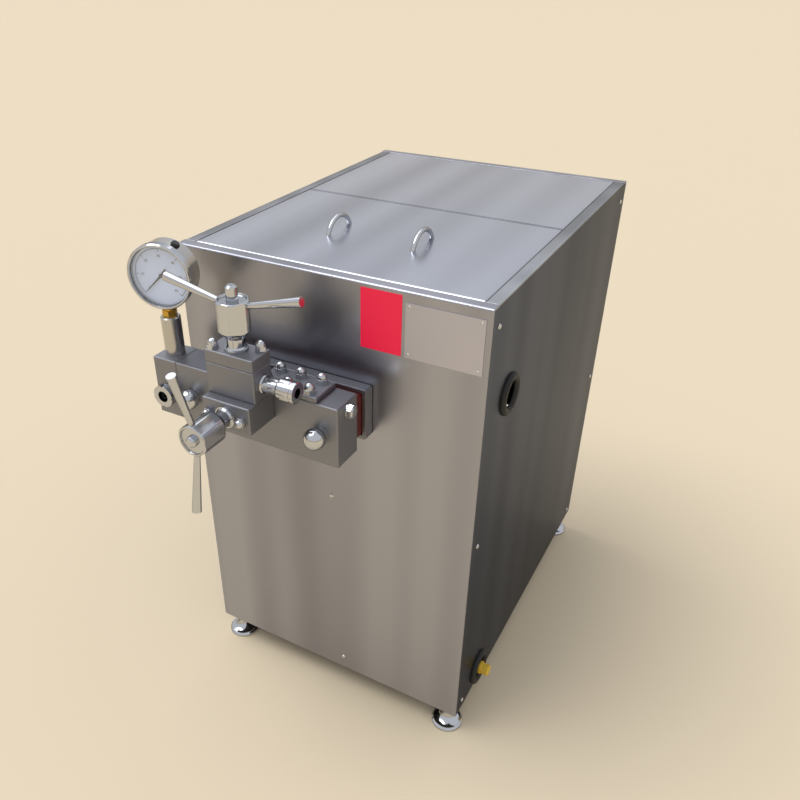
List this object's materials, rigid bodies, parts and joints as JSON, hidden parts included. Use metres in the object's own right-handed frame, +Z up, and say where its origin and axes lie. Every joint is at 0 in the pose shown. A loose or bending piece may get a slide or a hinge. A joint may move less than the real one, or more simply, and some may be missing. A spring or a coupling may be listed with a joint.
{
  "type": "dairy homogenizer",
  "caption": "Stainless cabinet on bell feet with a plunger pump head, stacked pressure valves with hand levers, and a dial gauge on its front.",
  "frame": {"origin": "on the floor under the middle of the whole outline", "axes": "+X to the machine's right as seen from its front, +Y from front to back, +Z up"},
  "size_m": [0.6052, 1.0296, 0.946],
  "materials": {
    "panel_steel": "stainless sheet, brushed along its height",
    "side_steel": "stainless sheet, bright rolled, darker than the front",
    "top_steel": "stainless sheet, brushed from front to back",
    "head_steel": "machined and polished stainless",
    "trim_steel": "turned and ground stainless",
    "bright_steel": "polished bright",
    "plate_aluminium": "matt anodised, blank",
    "frame_paint": "dark grey primer",
    "red_casting": "red machine enamel",
    "motor_paint": "blue-grey enamel",
    "pulley_iron": "turned casting",
    "black_rubber": "moulded",
    "black_plastic": "moulded",
    "needle_black": "matt black",
    "yellow_plastic": "moulded",
    "packing_white": "machined",
    "dial_white": "printed white",
    "brass": "machined",
    "clear_glass": "clear"
  },
  "bodies": {
    "cabinet": {"front_panel": "panel_steel", "back_panel": "panel_steel", "left_panel": "side_steel", "right_panel": "side_steel", "rear_top_plate": "top_steel", "pump_block": "head_steel", "gauge_block": "head_steel", "block_cover": "head_steel", "lower_body": "head_steel", "upper_body": "head_steel", "upper_cover": "head_steel", "trim_frame": "trim_steel", "gauge_post": "trim_steel", "gauge_case": "trim_steel", "drain_pipe": "trim_steel", "valve_seats": "trim_steel", "valve_cores": "trim_steel", "valve_springs": "trim_steel", "valve_balls": "trim_steel", "panel_screws": "trim_steel", "bonnets": "bright_steel", "valve_nuts": "bright_steel", "cover_nuts": "bright_steel", "ball_nuts": "bright_steel", "end_plug": "bright_steel", "inlet_fitting": "bright_steel", "outlet_union": "bright_steel", "feet": "bright_steel", "gauge_bezel": "bright_steel", "data_plate": "plate_aluminium", "base_rails": "frame_paint", "upper_frame": "frame_paint", "motor_plate": "frame_paint", "crankcase": "red_casting", "crankcase_caps": "red_casting", "motor": "motor_paint", "grommets": "black_rubber", "head_gasket": "black_rubber", "v_belts": "black_rubber", "cable_gland": "black_plastic", "gauge_plug": "black_plastic", "packings": "packing_white", "gauge_dial": "dial_white", "gauge_adapter": "brass", "gauge_glass": "clear_glass", "oil_sight_glass": "clear_glass"},
    "lid": {"lid": "top_steel", "lid_handles": "bright_steel"},
    "first_lever": {"first_lever": "bright_steel"},
    "second_lever": {"second_lever": "bright_steel"},
    "first_spindle": {"first_spindle": "bright_steel"},
    "second_spindle": {"second_spindle": "bright_steel"},
    "gauge_pointer": {"gauge_pointer": "needle_black"},
    "crank": {"crank_pulley": "pulley_iron", "crankshaft": "trim_steel"},
    "motor_rotor": {"motor_pulley": "pulley_iron"},
    "plunger_1": {"plunger_1": "bright_steel"},
    "plunger_2": {"plunger_2": "bright_steel"},
    "plunger_3": {"plunger_3": "bright_steel"},
    "drain_cap": {"drain_cap": "yellow_plastic"}
  },
  "joints": [
    {"name": "lid_lift", "type": "slide", "parent": "cabinet", "child": "lid", "axis": [0, 0, 1], "range_m": [0, 0.3]},
    {"name": "first_lever_turn", "type": "hinge", "parent": "cabinet", "child": "first_lever", "pos_m": [-0.07138, -0.37073, 0.85], "axis": [0, 0, -1], "range_deg": [0, 540]},
    {"name": "first_spindle_feed", "type": "slide", "parent": "cabinet", "child": "first_spindle", "axis": [0, 0, -1], "range_m": [0, 0.003]},
    {"name": "second_lever_turn", "type": "hinge", "parent": "cabinet", "child": "second_lever", "pos_m": [-0.07138, -0.44323, 0.7275], "axis": [0, 1, 0], "range_deg": [0, 540]},
    {"name": "second_spindle_feed", "type": "slide", "parent": "cabinet", "child": "second_spindle", "axis": [0, 1, 0], "range_m": [0, 0.003]},
    {"name": "gauge_needle", "type": "hinge", "parent": "cabinet", "child": "gauge_pointer", "pos_m": [-0.24738, -0.31773, 0.8915], "axis": [-0.2672, 0.9636, 0], "range_deg": [0, 270], "stiffness_Nm_per_rad": 0.002},
    {"name": "crank_spin", "type": "hinge", "parent": "cabinet", "child": "crank", "pos_m": [-0.20138, -0.07323, 0.698], "axis": [1, 0, 0], "continuous": true},
    {"name": "motor_spin", "type": "hinge", "parent": "cabinet", "child": "motor_rotor", "pos_m": [-0.20138, 0.05677, 0.2], "axis": [1, 0, 0], "continuous": true},
    {"name": "plunger_1_stroke", "type": "slide", "parent": "cabinet", "child": "plunger_1", "axis": [0, -1, 0], "range_m": [-0.03, 0]},
    {"name": "plunger_2_stroke", "type": "slide", "parent": "cabinet", "child": "plunger_2", "axis": [0, -1, 0], "range_m": [-0.0075, 0.0225]},
    {"name": "plunger_3_stroke", "type": "slide", "parent": "cabinet", "child": "plunger_3", "axis": [0, -1, 0], "range_m": [-0.0075, 0.0225]},
    {"name": "drain_cap_pull", "type": "slide", "parent": "cabinet", "child": "drain_cap", "axis": [1, 0, 0], "range_m": [0, 0.03]}
  ],
  "couplings": [
    {"joint": "first_spindle_feed", "follows": "first_lever_turn", "m_per_rad": 0.00031831},
    {"joint": "second_spindle_feed", "follows": "second_lever_turn", "m_per_rad": 0.00031831},
    {"joint": "motor_spin", "follows": "crank_spin", "ratio": 2.3636}
  ]
}
